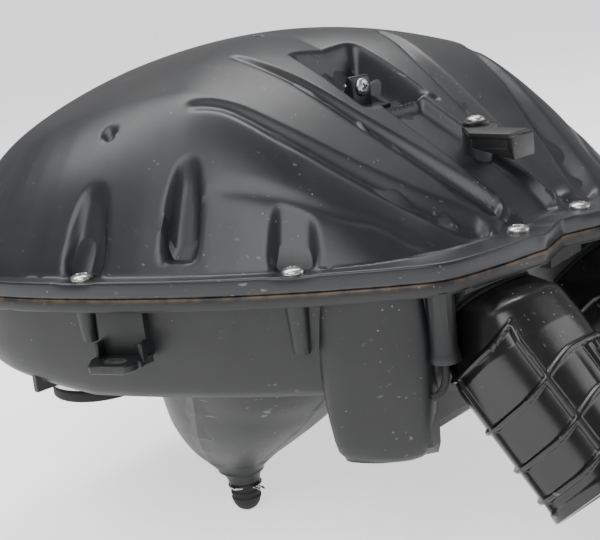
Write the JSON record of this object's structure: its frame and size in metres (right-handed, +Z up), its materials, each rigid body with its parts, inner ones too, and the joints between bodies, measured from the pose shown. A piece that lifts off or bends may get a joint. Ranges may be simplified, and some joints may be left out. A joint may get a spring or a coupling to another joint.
{
  "type": "air filter housing",
  "caption": "Domed air filter housing with a screwed-on cover, slanted ram-air ducts, a panel filter, a drain sump with a rubber cap, and rubber-booted throttle outlets.",
  "frame": {"origin": "centre of the outlet row, on the underside of the outlet plate that sits over the throttle bodies", "axes": "+Z up, -Y towards the front of the vehicle, where the ducts point, -X towards the vehicle's right, where the drain sump is"},
  "size_m": [0.3814, 0.3782, 0.2383],
  "materials": {
    "dome_plastic": "satin charcoal polypropylene, dusty and lightly scratched",
    "case_plastic": "matte black polypropylene",
    "duct_plastic": "glossy black polypropylene",
    "sensor_plastic": "black connector plastic",
    "stack_plastic": "smooth black",
    "frame_plastic": "matte black",
    "rubber": "black rubber",
    "foam": "dark closed-cell foam",
    "filter_paper": "oiled pleated paper",
    "steel_mesh": "fine steel gauze",
    "zinc": "zinc plate"
  },
  "bodies": {
    "case": {"lower_case": "case_plastic", "intake_duct_right": "duct_plastic", "intake_duct_left": "duct_plastic", "duct_seal_right": "foam", "duct_seal_left": "foam", "velocity_stack_1": "stack_plastic", "velocity_stack_2": "stack_plastic", "velocity_stack_3": "stack_plastic", "velocity_stack_4": "stack_plastic", "throttle_boot_1": "rubber", "throttle_boot_2": "rubber", "throttle_boot_3": "rubber", "throttle_boot_4": "rubber", "boot_clamp_1": "zinc", "boot_clamp_2": "zinc", "boot_clamp_3": "zinc", "boot_clamp_4": "zinc", "joint_seal": "rubber", "vent_tube": "rubber"},
    "cover": {"upper_cover": "dome_plastic", "air_temperature_sensor": "sensor_plastic", "sensor_screw": "zinc", "lug_screw": "zinc"},
    "cover_screws": {"cover_screw_01": "zinc", "cover_screw_02": "zinc", "cover_screw_03": "zinc", "cover_screw_04": "zinc", "cover_screw_05": "zinc", "cover_screw_06": "zinc", "cover_screw_07": "zinc", "cover_screw_08": "zinc", "cover_screw_09": "zinc", "cover_screw_10": "zinc"},
    "filter": {"filter_gasket": "foam", "filter_frame": "frame_plastic", "filter_pleats": "filter_paper", "backfire_screen": "steel_mesh"},
    "filter_screws": {"filter_screw_1": "zinc", "filter_screw_2": "zinc", "filter_screw_3": "zinc", "filter_screw_4": "zinc"},
    "drain_cap": {"drain_cap": "rubber", "drain_clip": "zinc"}
  },
  "joints": [
    {"name": "cover_lift", "type": "slide", "parent": "case", "child": "cover", "axis": [0, 0, 1], "range_m": [0, 0.12]},
    {"name": "cover_screws_out", "type": "slide", "parent": "cover", "child": "cover_screws", "axis": [0, 0, 1], "range_m": [0, 0.017]},
    {"name": "filter_lift", "type": "slide", "parent": "case", "child": "filter", "axis": [0, 0, 1], "range_m": [0, 0.06]},
    {"name": "filter_screws_out", "type": "slide", "parent": "filter", "child": "filter_screws", "axis": [0, 0, 1], "range_m": [0, 0.0095]},
    {"name": "drain_cap_off", "type": "slide", "parent": "case", "child": "drain_cap", "axis": [0, 0, -1], "range_m": [0, 0.012]}
  ],
  "couplings": [
    {"joint": "filter_lift", "follows": "cover_lift", "ratio": 0.5}
  ]
}
